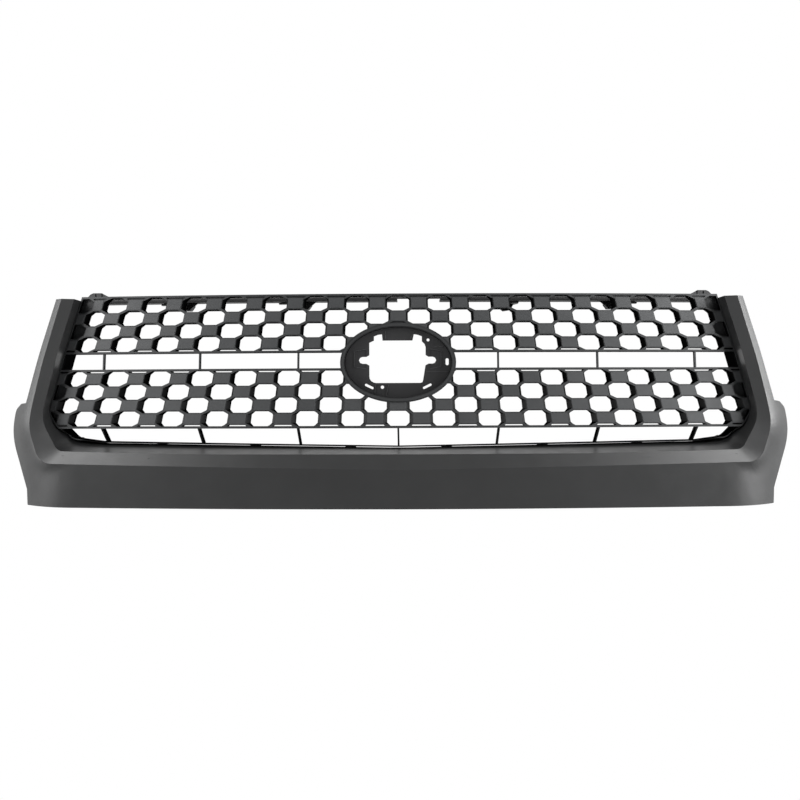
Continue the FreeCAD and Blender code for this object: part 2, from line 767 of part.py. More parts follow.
def ledge():
    """Ledge and lugs that the emblem base lies on, with holes for its pegs."""
    front = size("seat_recess") + size("base_thickness")
    back = front + size("ledge_thickness")
    inset = size("collar_wall")
    shelf = ellipse_prism(inset - 1, front, back)
    shelf = shelf.cut(ellipse_prism(inset + size("ledge_width"), front - 1, back + 1))
    margin = base_slot_width / 2 + 1.5
    corner = Vector(base_slot_x - 2 * margin, front - 1, base_slot_low - margin)
    height = base_slot_high - base_slot_low + 2 * margin
    shelf = shelf.cut(Part.makeBox(3 * margin, back - front + 2, height, corner))
    lugs = []
    holes = []
    for x, z in emblem_screw_places:
        place = Vector(x, front, z)
        lugs.append(Part.makeCylinder(size("lug_radius"), back - front, place, Vector(0, 1, 0)))
        radius = size("peg_radius") + size("seat_clearance")
        holes.append(Part.makeCylinder(radius, 30, place - Vector(0, 10, 0), Vector(0, 1, 0)))
    limit = ellipse_prism(inset - 1, front, back)
    return shelf.fuse([lug.common(limit) for lug in lugs]).cut(holes)


def fixing_tabs():
    """Tabs of the perimeter wall that lie on the surround's bosses, and their holes."""
    tabs = []
    for station in fixings:
        start = station.wall_end()[0] - size("rim_clearance") - size("rim_wall") * 0.6
        hole_at = station.opening + size("boss_inset")
        length = hole_at + 8 - start
        front = tab_depth(station)
        half = size("tab_width") / 2
        tab = Part.makeBox(length, size("tab_thickness"), 2 * half, Vector(0, 0, -half))
        tab.rotate(Vector(0, 0, 0), Vector(0, 1, 0), math.degrees(station.angle))
        tab.translate(station.point(start, front))
        radius = size("screw_radius") + size("screw_clearance")
        hole = Part.makeCylinder(radius, 20, station.point(hole_at, front - 8), Vector(0, 1, 0))
        tab = tab.cut(hole)
        tabs += [tab, mirrored(tab)]
    return tabs


rail_screw_columns = (3, 9, 13)


def rail_screw_points():
    """Where the rail is screwed to the back of the top row of tiles."""
    z = upper_rows[0]
    points = []
    for k in rail_screw_columns:
        for sign in (1, -1):
            x = fan(sign * k, z)
            points.append(Vector(x, front_depth(x, z) + size("rail_seat"), z))
    return points


def rail_bosses():
    bosses = []
    for point in rail_screw_points():
        depth = size("rail_seat") - size("tile_skin") / 2
        start = point - Vector(0, depth, 0)
        boss = Part.makeCylinder(4.2, depth, start, Vector(0, 1, 0))
        radius = size("screw_radius") + size("screw_clearance")
        core = Part.makeCylinder(radius, 18, point - Vector(0, 15, 0), Vector(0, 1, 0))
        bosses.append(boss.cut(core))
    return bosses


def mesh_insert_shape():
    pieces = perimeter() + middle_ribs() + lower_ribs()
    pieces += collar() + fixing_tabs() + rail_bosses()
    return lattice().fuse(pieces)


# ---------------------------------------------------------------- upper rail
retainer_columns = (-11, -5, 5, 11)
bracket_columns = (-11, -5, 11)


def shelf_offset():
    """Front of the rail, behind the mesh front."""
    return size("rail_seat") + size("rail_gap")


def rail_slab(left, right, low, high, front, back):
    """A block between two depths behind the mesh front."""
    outline = polygon([(left, low), (left, high), (right, high), (right, low)])
    return layer(Part.Face(outline).extrude(Vector(0, FAR - NEAR, 0)), front, back)


def tile_x(column):
    return fan(column, upper_rows[0])


def retainer_places():
    """Centre line of each retainer, on the shelf top."""
    places = []
    for column in retainer_columns:
        x = tile_x(column) + math.copysign(size("retainer_offset"), column)
        y = front_depth(x, size("shelf_top")) + size("retainer_depth")
        places.append(Vector(x, y, size("shelf_top")))
    return places


def bolt_line():
    """Depth of the upper bolt holes."""
    top = size("shelf_top")
    return front_depth(size("bolt_half_spacing"), top) + shelf_offset() + size("bolt_inset")


EAR_X = 513.0


def ear_screw_places():
    """Axis of the screw in each ear's foot, on the shelf top."""
    top = size("shelf_top")
    depth = front_depth(EAR_X, top) + size("ear_setback") + size("ear_foot") * 0.6
    return [Vector(sign * EAR_X, depth, top) for sign in (-1, 1)]


def bracket(column):
    """Block with a slanted strut that hangs under the shelf behind a tile."""
    inward = -math.copysign(1, column)
    x = tile_x(column)
    under = size("shelf_top") - size("shelf_thickness") / 2
    block = [(x + inward * 4, under), (x + inward * 22, under), (x + inward * 22, 100),
             (x + inward * 17, 93), (x + inward * 4, 93)]
    strut = [(x + inward * 20, under), (x + inward * 34, under), (x + inward * 31, 106),
             (x + inward * 20, 97)]
    front = shelf_offset() + 12
    pieces = []
    for outline, depth in ((block, 18), (strut, 4)):
        prism = Part.Face(polygon(outline)).extrude(Vector(0, FAR - NEAR, 0))
        pieces.append(layer(prism, front, front + depth))
    return pieces


def upper_rail_shape():
    half = size("shelf_half_width")
    top = size("shelf_top")
    under = top - size("shelf_thickness")
    front = shelf_offset()
    shelf = rail_slab(-half, half, under, top, front, front + size("shelf_depth"))
    apron = rail_slab(-half, half, size("apron_bottom"), top - 1, front, front + size("apron_thickness"))
    pieces = [apron]
    for column in rail_screw_columns:
        for sign in (-1, 1):
            x = sign * tile_x(column)
            pieces.append(rail_slab(x - 9, x + 9, 91, top - 1, front, front + size("apron_thickness")))
    for x in (-460, -340, -215, -90, 130, 230, 340, 460):
        rib = Part.Face(polygon([(x - 1, 105), (x - 1, top - 1), (x + 1, top - 1), (x + 1, 105)]))
        rib = rib.extrude(Vector(0, FAR - NEAR, 0))
        pieces.append(layer(rib, front + 1, front + 12))
    for column in bracket_columns:
        pieces += bracket(column)
    cuts = []
    left, right = size("notch_left"), size("notch_right")
    web = front + size("notch_web")
    cuts.append(rail_slab(left, right, under - 1, top + 5, web, 200))
    cuts.append(rail_slab(left, right, 80, under, 0, 200))
    shank = size("screw_radius") + size("screw_clearance")
    for point in rail_screw_points():
        cuts.append(Part.makeCylinder(shank, 20, point - Vector(0, 5, 0), Vector(0, 1, 0)))
    for place in retainer_places():
        radius = size("retainer_radius") + size("clip_clearance")
        cuts.append(Part.makeCylinder(radius, 20, place - Vector(0, 0, 10)))
    for place in ear_screw_places():
        cuts.append(Part.makeCylinder(shank, 20, place - Vector(0, 0, 10)))
    for x in (-size("bolt_half_spacing"), size("bolt_half_spacing")):
        cuts.append(Part.makeCylinder(size("bolt_hole_radius"), 30, Vector(x, bolt_line(), top - 15)))
    return shelf.fuse(pieces).cut(cuts)


# ---------------------------------------------------------------- screws
def pan_screw(point, direction, length):
    """Pan head screw: head above the point, shank below it along the direction."""
    head = Part.makeCylinder(size("screw_head_radius"), size("screw_head_height"), point, -direction)
    start = point - direction * 0.5
    shank = Part.makeCylinder(size("screw_radius"), length + 0.5, start, direction)
    recess = Part.makeBox(1.1, 5, 1.1)
    recess.translate(Vector(-0.55, -2.5, -0.55))
    slots = []
    for turn in (0, 90):
        slot = recess.copy()
        slot.rotate(Vector(0, 0, 0), Vector(0, 0, 1), turn)
        slots.append(slot)
    cross = slots[0].fuse(slots[1])
    rotation = FreeCAD.Rotation(Vector(0, 0, 1), direction)
    cross.Placement = FreeCAD.Placement(point - direction * size("screw_head_height"), rotation)
    return head.fuse(shank).cut(cross)


def surround_screws_shape():
    screws = []
    for station in fixings:
        hole_at = station.opening + size("boss_inset")
        point = station.point(hole_at, tab_depth(station) + size("tab_thickness"))
        screw = pan_screw(point, Vector(0, -1, 0), 12 + size("tab_thickness"))
        screws += [screw, mirrored(screw)]
    return Part.makeCompound(screws)


def rail_screws_shape():
    screws = []
    for point in rail_screw_points():
        lean = size("screw_head_radius") * math.tan(RAKE)
        back = point + Vector(0, size("rail_gap") + size("apron_thickness") + lean, 0)
        screws.append(pan_screw(back, Vector(0, -1, 0), 15))
    for place in ear_screw_places():
        top = place + Vector(0, 0, size("ear_thickness"))
        screws.append(pan_screw(top, Vector(0, 0, -1), size("ear_thickness") + 8))
    return Part.makeCompound(screws)


def emblem_screws_shape():
    screws = []
    back = size("seat_recess") + size("base_thickness") + size("ledge_thickness")
    for x, z in emblem_screw_places:
        screws.append(pan_screw(Vector(x, back, z), Vector(0, -1, 0), 4.2))
    return Part.makeCompound(screws)


# ---------------------------------------------------------------- small parts as bodies and primitives
def new_body(label):
    body = doc.addObject("PartDesign::Body", label)
    body.Label = label
    return body


def origin_plane(body, role):
    for feature in body.Origin.OriginFeatures:
        if feature.Role == role:
            return feature


def new_sketch(body, name, role, offset=0.0):
    """A sketch parallel to one of the body's own origin planes."""
    sketch = body.newObject("Sketcher::SketchObject", name)
    sketch.AttachmentSupport = (origin_plane(body, role), [""])
    sketch.MapMode = "FlatFace"
    sketch.AttachmentOffset = FreeCAD.Placement(Vector(0, 0, offset), FreeCAD.Rotation())
    return sketch


def draw_polygon(sketch, points):
    first = sketch.GeometryCount
    count = len(points)
    for index in range(count):
        start = Vector(points[index][0], points[index][1], 0)
        end = Vector(points[(index + 1) % count][0], points[(index + 1) % count][1], 0)
        sketch.addGeometry(Part.LineSegment(start, end), False)
    for index in range(count):
        following = first + (index + 1) % count
        sketch.addConstraint(Sketcher.Constraint("Coincident", first + index, 2, following, 1))


def draw_circle(sketch, x, z, radius, alias=None):
    index = sketch.addGeometry(Part.Circle(Vector(x, z, 0), Vector(0, 0, 1), radius), False)
    if alias:
        number = sketch.addConstraint(Sketcher.Constraint("Radius", index, radius))
        sketch.setExpression("Constraints[%d]" % number, alias)


def draw_slot(sketch, first, second, width):
    """A long hole with round ends between two centres."""
    x1, z1 = first
    x2, z2 = second
    angle = math.atan2(z2 - z1, x2 - x1)
    radius = width / 2
    side = Vector(-math.sin(angle), math.cos(angle), 0) * radius
    start = Vector(x1, z1, 0)
    end = Vector(x2, z2, 0)
    tip = Vector(math.cos(angle), math.sin(angle), 0) * radius
    sketch.addGeometry(Part.LineSegment(start + side, end + side), False)
    sketch.addGeometry(Part.Arc(end + side, end + tip, end - side), False)
    sketch.addGeometry(Part.LineSegment(end - side, start - side), False)
    sketch.addGeometry(Part.Arc(start - side, start - tip, start + side), False)


def pad(body, sketch, name, length, reverse=False):
    feature = body.newObject("PartDesign::Pad", name)
    feature.Profile = sketch
    feature.setExpression("Length", length)
    feature.Reversed = reverse
    sketch.Visibility = False
    return feature


def pocket(body, sketch, name, length=None, reverse=False):
    feature = body.newObject("PartDesign::Pocket", name)
    feature.Profile = sketch
    if length is None:
        feature.Type = 1
        feature.Midplane = True
    else:
        feature.setExpression("Length", length)
    feature.Reversed = reverse
    sketch.Visibility = False
    return feature


# ---------------------------------------------------------------- emblem base
def emblem_opening():
    """Outline of the centre opening with its top tab slot and side slots."""
    return [
        (-47.6, 33.0), (-39.9, 36.7), (-39.9, 43.5), (-33.0, 46.3), (-26.6, 47.0), (-25.7, 36.7),
        (23.7, 36.7), (26.0, 47.0), (32.5, 46.0), (39.2, 43.5), (39.2, 35.0), (43.5, 31.0),
        (45.3, 26.0), (45.3, 12.6), (50.0, 9.8), (57.0, 9.8), (60.8, 8.2), (62.7, 4.2),
        (60.8, 0.1), (57.0, -1.5), (50.0, -1.5), (45.0, -4.5), (41.0, -29.0), (39.8, -32.2),
        (36.8, -33.3), (-36.6, -33.3), (-41.0, -32.3), (-44.8, -29.8), (-47.0, -26.4), (-47.6, -22.3),
        (-47.6, -4.5), (-52.5, -1.5), (-59.0, -1.5), (-62.8, 0.1), (-64.7, 4.2), (-62.8, 8.2),
        (-59.0, 9.8), (-52.5, 9.8), (-47.6, 12.6)]


def build_emblem_base():
    body = new_body("emblem_base")
    inset = size("collar_wall") + size("seat_clearance")
    outline = new_sketch(body, "PlateOutline", "XZ_Plane")
    major = size("collar_width") / 2 - inset
    minor = size("collar_height") / 2 - inset
    oval = Part.Ellipse(Vector(major, 0, 0), Vector(0, minor, 0), Vector(0, 0, 0))
    outline.addGeometry(oval, False)
    pad(body, outline, "Plate", "Sizes.base_thickness", reverse=True)
    pegs = new_sketch(body, "PegCircles", "XZ_Plane", -size("base_thickness"))
    pegs.setExpression("AttachmentOffset.Base.z", "-Sizes.base_thickness")
    for x, z in emblem_screw_places:
        draw_circle(pegs, x, z, size("peg_radius"), "Sizes.peg_radius")
    pad(body, pegs, "Pegs", "Sizes.ledge_thickness", reverse=True)
    opening = new_sketch(body, "OpeningOutline", "XZ_Plane")
    draw_polygon(opening, emblem_opening())
    pocket(body, opening, "Opening")
    details = new_sketch(body, "HolesAndSlots", "XZ_Plane")
    draw_circle(details, 49.4, 37.4, 2.4)
    draw_circle(details, -26.2, -40.2, 2.7)
    draw_slot(details, (base_slot_x, base_slot_low), (base_slot_x, base_slot_high), base_slot_width)
    for side in (-1, 1):
        draw_slot(details, (side * 53.2, -36.4), (side * 42.6, -41.6), 3.8)
    pocket(body, details, "HolesAndSlotsCut")
    strip = new_sketch(body, "StripOutline", "XZ_Plane")
    draw_polygon(strip, [(-37.0, -36.5), (-16.7, -36.5), (-16.7, -52.0), (-37.0, -50.0)])
    for side in (-1, 1):
        outer = -71.7 if side < 0 else 69.8
        inner = side * 52.5
        draw_polygon(strip, [(inner, 21.5), (outer, 18.5), (outer, -5.5), (inner, -9.0)])
    pocket(body, strip, "Recesses", "Sizes.pad_recess")
    cores = new_sketch(body, "ScrewCores", "XZ_Plane",
                       -size("base_thickness") - size("ledge_thickness"))
    cores.setExpression("AttachmentOffset.Base.z", "-Sizes.base_thickness - Sizes.ledge_thickness")
    for x, z in emblem_screw_places:
        radius = "Sizes.screw_radius + Sizes.screw_clearance"
        draw_circle(cores, x, z, size("screw_radius") + size("screw_clearance"), radius)
    pocket(body, cores, "ScrewCoresCut", "Sizes.base_thickness / 2 + Sizes.ledge_thickness", reverse=True)
    body.setExpression("Placement.Base.y", "Sizes.seat_recess")
    return body


# ---------------------------------------------------------------- ear clips
def build_ear_clip(label, sign):
    """Upright slotted plate on a screwed foot."""
    body = new_body(label)
    height = size("ear_height")
    outer = size("ear_reach")
    outline = new_sketch(body, "EarOutline", "XZ_Plane")
    profile = [
        (outer, 0), (outer - 1.8, height * 0.38), (outer - 6.7, height * 0.82),
        (outer - 11.6, height), (outer - 26.4, height), (outer - 31.3, height * 0.77),
        (outer - 41, height * 0.38), (outer - 41, 0)]
    draw_polygon(outline, [(sign * x, z) for x, z in profile])
    pad(body, outline, "EarPlate", "Sizes.ear_thickness", reverse=True)
    foot = new_sketch(body, "FootOutline", "XY_Plane")
    depth = size("ear_foot")
    sole = [(-14, 0.5), (11, 0.5), (11, depth), (-14, depth)]
    draw_polygon(foot, [(sign * x, y) for x, y in sole])
    pad(body, foot, "Foot", "Sizes.ear_thickness")
    slits = new_sketch(body, "SlitOutlines", "XZ_Plane")
    for middle in (outer - 16.3, outer - 27):
        low = size("ear_thickness") + 0.5
        slit = [(middle - 1.2, low), (middle + 1.2, low),
                (middle + 1.2, height - 1.6), (middle - 1.2, height - 1.6)]
        draw_polygon(slits, [(sign * x, z) for x, z in slit])
    pocket(body, slits, "Slits", "Sizes.slit_depth")
    hole = new_sketch(body, "ScrewHole", "XY_Plane")
    radius = "Sizes.screw_radius + Sizes.screw_clearance"
    draw_circle(hole, 0, size("ear_foot") * 0.6, size("screw_radius") + size("screw_clearance"), radius)
    pocket(body, hole, "ScrewHoleCut")
    place = Vector(sign * EAR_X, front_depth(EAR_X, size("shelf_top")) + size("ear_setback"),
                   size("shelf_top"))
    body.Placement = FreeCAD.Placement(place, FreeCAD.Rotation())
    return body


# ---------------------------------------------------------------- bump stop
def build_bump_stop():
    """Rubber block with a slanted strut under the shelf."""
    body = new_body("bump_stop")
    outline = new_sketch(body, "BlockOutline", "XZ_Plane")
    draw_polygon(outline, [(0, 0), (30, 0), (30, -5), (21, -7), (17, -16), (4, -18), (0, -15)])
    pad(body, outline, "Block", "14 mm", reverse=True)
    under = size("shelf_top") - size("shelf_thickness")
    x = tile_x(5) + 6
    place = Vector(x, front_depth(x, under) + size("retainer_depth") + 14, under)
    body.Placement = FreeCAD.Placement(place, FreeCAD.Rotation())
    return body


# ---------------------------------------------------------------- side nuts
def build_side_nut(label, sign):
    """Rivet nut in the tab at the upper end of a leg."""
    body = new_body(label)
    bore = size("nut_bore")
    hole = size("side_hole_radius")
    thick = size("side_tab_thickness")
    profile = new_sketch(body, "NutProfile", "XY_Plane")
    draw_polygon(profile, [
        (-thick / 2 - 1.5, bore), (-thick / 2 - 1.5, hole + 2.5), (-thick / 2, hole + 2.5),
        (-thick / 2, hole - 0.05), (thick / 2, hole - 0.05), (thick / 2, hole + 1.2),
        (thick / 2 + 4, hole + 1.2), (thick / 2 + 5, hole - 0.5), (thick / 2 + 12, hole - 0.5),
        (thick / 2 + 12, bore)])
    nut = body.newObject("PartDesign::Revolution", "Nut")
    nut.Profile = profile
    nut.ReferenceAxis = (profile, ["H_Axis"])
    nut.Angle = 360
    profile.Visibility = False
    x, _, back = side_tab_place()
    middle = x + size("side_tab_thickness") / 2
    place = Vector(sign * middle, back - size("side_tab_height") / 2, SIDE_TAB_Z)
    turn = FreeCAD.Rotation(Vector(0, 0, 1), 0 if sign < 0 else 180)
    body.Placement = FreeCAD.Placement(place, turn)
    return body


# ---------------------------------------------------------------- retainers and push clips
def primitive_cylinder(name, radius, height, place):
    cylinder = doc.addObject("Part::Cylinder", name)
    cylinder.setExpression("Radius", radius)
    cylinder.setExpression("Height", height)
    cylinder.Placement = FreeCAD.Placement(place, FreeCAD.Rotation())
    return cylinder


def fusion(label, shapes):
    joined = doc.addObject("Part::MultiFuse", label)
    joined.Shapes = shapes
    joined.Label = label
    return joined


def build_retainer(label, place, outward):
    """Push-in retainer: head on the shelf, stem through it, hook block below."""
    under = place - Vector(0, 0, size("shelf_thickness"))
    head = primitive_cylinder(label + "_head", "Sizes.retainer_head", "2 mm", place)
    stem = primitive_cylinder(label + "_stem", "Sizes.retainer_radius",
                              "Sizes.shelf_thickness + 2", under - Vector(0, 0, 1))
    block = doc.addObject("Part::Box", label + "_block")
    block.setExpression("Length", "2 * Sizes.retainer_radius + 3")
    block.Width = 9
    block.Height = 7
    half = size("retainer_radius") + 1.5
    block.Placement = FreeCAD.Placement(under - Vector(half, 4.5, 7), FreeCAD.Rotation())
    hook = doc.addObject("Part::Box", label + "_hook")
    hook.Length = 4
    hook.Width = 9
    hook.Height = 3
    start = half if outward > 0 else -half - 4
    hook.Placement = FreeCAD.Placement(under + Vector(start, -4.5, -7), FreeCAD.Rotation())
    return fusion(label, [head, stem, block, hook])


def build_lower_clip(label, x):
    """Push clip in the return flange: head below, stem and barbs above."""
    low = size("bottom_edge") + size("flange_rise")
    thick = size("surround_wall")
    place = Vector(x, flange_middle(x), low)
    head = primitive_cylinder(label + "_head", "Sizes.retainer_head", "2 mm", place - Vector(0, 0, 2))
    stem = primitive_cylinder(label + "_stem", "Sizes.retainer_radius",
                              "Sizes.surround_wall + 2", place - Vector(0, 0, 1))
    barb = doc.addObject("Part::Cone", label + "_barb")
    barb.setExpression("Radius1", "Sizes.retainer_radius + 1")
    barb.setExpression("Radius2", "Sizes.retainer_radius / 2")
    barb.Height = 9
    barb.Placement = FreeCAD.Placement(place + Vector(0, 0, thick), FreeCAD.Rotation())
    return fusion(label, [head, stem, barb])


def feature(label, shape):
    """A piece whose shape comes from the functions above."""
    piece = doc.addObject("Part::Feature", label)
    piece.Label = label
    piece.Shape = shape
    return piece


def single_solid(shape):
    """The one solid of a boolean's result."""
    return shape.Solids[0] if len(shape.Solids) == 1 else shape


pieces = [
    feature("surround", single_solid(surround_shape())),
    feature("mesh_insert", single_solid(mesh_insert_shape())),
    build_emblem_base(),
    feature("upper_rail", single_solid(upper_rail_shape())),
    build_ear_clip("ear_clip_left", -1),
    build_ear_clip("ear_clip_right", 1),
    build_bump_stop(),
    build_side_nut("side_nut_left", -1),
    build_side_nut("side_nut_right", 1),
    feature("surround_screws", surround_screws_shape()),
    feature("rail_screws", rail_screws_shape()),
    feature("emblem_screws", emblem_screws_shape()),
]
retainer_names = ("retainer_outer_left", "retainer_inner_left",
                  "retainer_inner_right", "retainer_outer_right")
for label, place, column in zip(retainer_names, retainer_places(), retainer_columns):
    pieces.append(build_retainer(label, place, column))
for number, x in enumerate(lower_clip_places, start=1):
    pieces.append(build_lower_clip("lower_clip_%d" % number, x))

doc.recompute()

# ---------------------------------------------------------------- check and export
for item in doc.Objects:
    if "Invalid" in item.State or "Error" in item.State:
        raise RuntimeError("%s: %s" % (item.Label, item.State))

# The frame of the whole part has its origin in the middle of the upper bolt line.
origin = Vector(0, bolt_line(), size("shelf_top"))
os.makedirs("parts", exist_ok=True)
for piece in pieces:
    shape = piece.Shape.copy()
    if shape.isNull() or not shape.isValid():
        raise RuntimeError("%s has no valid shape" % piece.Label)
    shape.translate(-origin)
    shape.exportStep("parts/%s.step" % piece.Label)
    print("%-22s solids %3d  volume %9.0f mm3" % (piece.Label, len(shape.Solids), shape.Volume))
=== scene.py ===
import bpy
import bmesh
import json
import math
from mathutils import Matrix, Vector


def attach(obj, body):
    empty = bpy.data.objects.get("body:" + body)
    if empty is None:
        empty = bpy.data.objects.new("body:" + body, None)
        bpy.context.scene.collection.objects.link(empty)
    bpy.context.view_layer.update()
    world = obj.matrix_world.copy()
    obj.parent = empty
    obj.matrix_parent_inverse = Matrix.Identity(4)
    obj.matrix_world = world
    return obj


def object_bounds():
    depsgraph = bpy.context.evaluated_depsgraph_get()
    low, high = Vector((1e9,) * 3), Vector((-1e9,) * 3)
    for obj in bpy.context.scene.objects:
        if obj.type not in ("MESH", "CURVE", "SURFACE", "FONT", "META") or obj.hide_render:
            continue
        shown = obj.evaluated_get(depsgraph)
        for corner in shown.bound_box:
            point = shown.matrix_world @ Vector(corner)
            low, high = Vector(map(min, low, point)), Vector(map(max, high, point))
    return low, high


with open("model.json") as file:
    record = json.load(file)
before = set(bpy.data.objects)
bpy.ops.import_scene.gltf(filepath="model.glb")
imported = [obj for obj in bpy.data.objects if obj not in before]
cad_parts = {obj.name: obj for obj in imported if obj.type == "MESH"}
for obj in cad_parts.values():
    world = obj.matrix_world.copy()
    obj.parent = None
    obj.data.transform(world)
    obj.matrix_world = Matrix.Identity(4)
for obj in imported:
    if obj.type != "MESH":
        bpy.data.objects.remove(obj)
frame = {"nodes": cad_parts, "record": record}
cad_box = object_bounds()
nodes = frame["nodes"]

# ---------------------------------------------------------------- camera
CAMERA_PLACE = (0.0211, -1.5863, -0.1735)
CAMERA_TURN = -0.690            # degrees to the side
CAMERA_ROLL = 0.223             # degrees
SENSOR_WIDTH = 36.0             # mm
LENS = 41.46                    # mm


def add_camera():
    """Camera far in front of the grille, level, a little to the right of its middle."""
    turn = math.radians(CAMERA_TURN)
    roll = math.radians(CAMERA_ROLL)
    right = Vector((math.cos(roll) * math.cos(turn), -math.cos(roll) * math.sin(turn), -math.sin(roll)))
    upward = Vector((math.sin(roll) * math.cos(turn), -math.sin(roll) * math.sin(turn), math.cos(roll)))
    backward = -Vector((math.sin(turn), math.cos(turn), 0.0))
    data = bpy.data.cameras.new("camera")
    data.sensor_width = SENSOR_WIDTH
    data.lens = LENS
    data.clip_end = 50.0
    camera = bpy.data.objects.new("camera", data)
    rotation = Matrix((right, upward, backward)).transposed().to_4x4()
    camera.matrix_world = Matrix.Translation(Vector(CAMERA_PLACE)) @ rotation
    bpy.context.collection.objects.link(camera)
    bpy.context.scene.camera = camera


add_camera()


# ---------------------------------------------------------------- node trees
class Nodes:
    """Short calls for building a node tree, which starts empty."""

    def __init__(self, tree):
        self.tree = tree
        self.tree.nodes.clear()

    def add(self, kind, **settings):
        node = self.tree.nodes.new(kind)
        for key, value in settings.items():
            setattr(node, key, value)
        return node

    def link(self, source, target):
        self.tree.links.new(source, target)

    def math(self, operation, first, second=None):
        node = self.add("ShaderNodeMath", operation=operation)
        self.link(first, node.inputs[0])
        if second:
            self.link(second, node.inputs[1])
        return node.outputs["Value"]

    def seen_white(self):
        """One for the rays that meet the background: camera, glossy and transmission."""
        path = self.add("ShaderNodeLightPath")
        total = path.outputs["Is Camera Ray"]
        for kind in ("Is Glossy Ray", "Is Transmission Ray"):
            total = self.math("MAXIMUM", total, path.outputs[kind])
        return total

    def white_backdrop(self, shading, white, output):
        """White to the rays that meet the background, and the shading to all others."""
        mix = self.add("ShaderNodeMixShader")
        self.link(self.seen_white(), mix.inputs["Fac"])
        self.link(shading, mix.inputs[1])
        self.link(white, mix.inputs[2])
        self.link(mix.outputs["Shader"], output.inputs["Surface"])


class Surface(Nodes):
    """A material with a Principled shader and patterns in object coordinates."""

    def __init__(self, name):
        self.material = bpy.data.materials.new(name)
        self.material.use_nodes = True
        super().__init__(self.material.node_tree)
        self.output = self.add("ShaderNodeOutputMaterial")
        self.shader = self.add("ShaderNodeBsdfPrincipled")
        self.link(self.shader.outputs["BSDF"], self.output.inputs["Surface"])
        self.place = self.add("ShaderNodeTexCoord").outputs["Object"]

    def noise(self, scale, detail=3.0, roughness=0.5):
        node = self.add("ShaderNodeTexNoise")
        node.inputs["Scale"].default_value = scale
        node.inputs["Detail"].default_value = detail
        node.inputs["Roughness"].default_value = roughness
        self.link(self.place, node.inputs["Vector"])
        return node.outputs["Fac"]

    def ramp(self, source, low, high, start=0.0, end=1.0):
        node = self.add("ShaderNodeMapRange")
        node.inputs["From Min"].default_value = start
        node.inputs["From Max"].default_value = end
        node.inputs["To Min"].default_value = low
        node.inputs["To Max"].default_value = high
        self.link(source, node.inputs["Value"])
        return node.outputs["Result"]

    def blend(self, factor, first, second):
        node = self.add("ShaderNodeMix", data_type="RGBA")
        node.inputs["A"].default_value = (*first, 1.0)
        node.inputs["B"].default_value = (*second, 1.0)
        self.link(factor, node.inputs["Factor"])
        return node.outputs["Result"]

    def multiplied(self, colour, factor):
        node = self.add("ShaderNodeMix", data_type="RGBA", blend_type="MULTIPLY")
        node.inputs["Factor"].default_value = 1.0
        self.link(colour, node.inputs["A"])
        self.link(factor, node.inputs["B"])
        return node.outputs["Result"]

    def bump(self, source, strength, distance):
        node = self.add("ShaderNodeBump")
        node.inputs["Strength"].default_value = strength
        node.inputs["Distance"].default_value = distance
        self.link(source, node.inputs["Height"])
        return node.outputs["Normal"]


# ---------------------------------------------------------------- materials
CLOUD_RANGE = (0.35, 0.65)      # the noise values that spread over the whole variation
WALL_RANGE = (0.32, 0.45)       # share of a normal along Y from hole walls to faces that look forward, over which the painted shade fades out


def moulded_plastic(name, dark, light, gloss, grain, ior=1.4, painted_wall_shade=1.0, metallic=0.0):
    """Moulded plastic or steel: fine grain, faint colour and roughness variation.

    Gloss is the roughness's range, grain the scale of the grain and its depth in metres. Faces that
    look neither forward nor back are darker by the painted wall shade and lose their specular: painted
    shade standing in for the shadow inside the holes.
    """
    surface = Surface(name)
    clouds = surface.ramp(surface.noise(9.0, 4.0, 0.55), 0.0, 1.0, *CLOUD_RANGE)
    colour = surface.blend(clouds, dark, light)
    shader = surface.shader
    # Painted shade: faces that look neither forward nor back (the hole walls, and also the outer sides of
    # the perimeter wall) are darkened down to the painted wall shade and lose their specular, in place of
    # the shadow inside the holes.
    if painted_wall_shade < 1.0:
        parts = surface.add("ShaderNodeSeparateXYZ")
        surface.link(surface.add("ShaderNodeNewGeometry").outputs["Normal"], parts.inputs["Vector"])
        facing = surface.math("ABSOLUTE", parts.outputs["Y"])
        front = surface.ramp(facing, painted_wall_shade, 1.0, *WALL_RANGE)
        surface.link(surface.ramp(front, 0.0, 0.4, painted_wall_shade, 1.0), shader.inputs["Specular IOR Level"])
        colour = surface.multiplied(colour, front)
    grain_scale, grain_depth = grain
    roughness = surface.ramp(surface.noise(40.0), *gloss, *CLOUD_RANGE)
    normal = surface.bump(surface.noise(grain_scale, 2.0, 0.6), 0.35, grain_depth)
    shader.inputs["IOR"].default_value = ior
    shader.inputs["Metallic"].default_value = metallic
    surface.link(colour, shader.inputs["Base Color"])
    surface.link(roughness, shader.inputs["Roughness"])
    surface.link(normal, shader.inputs["Normal"])
    return surface.material


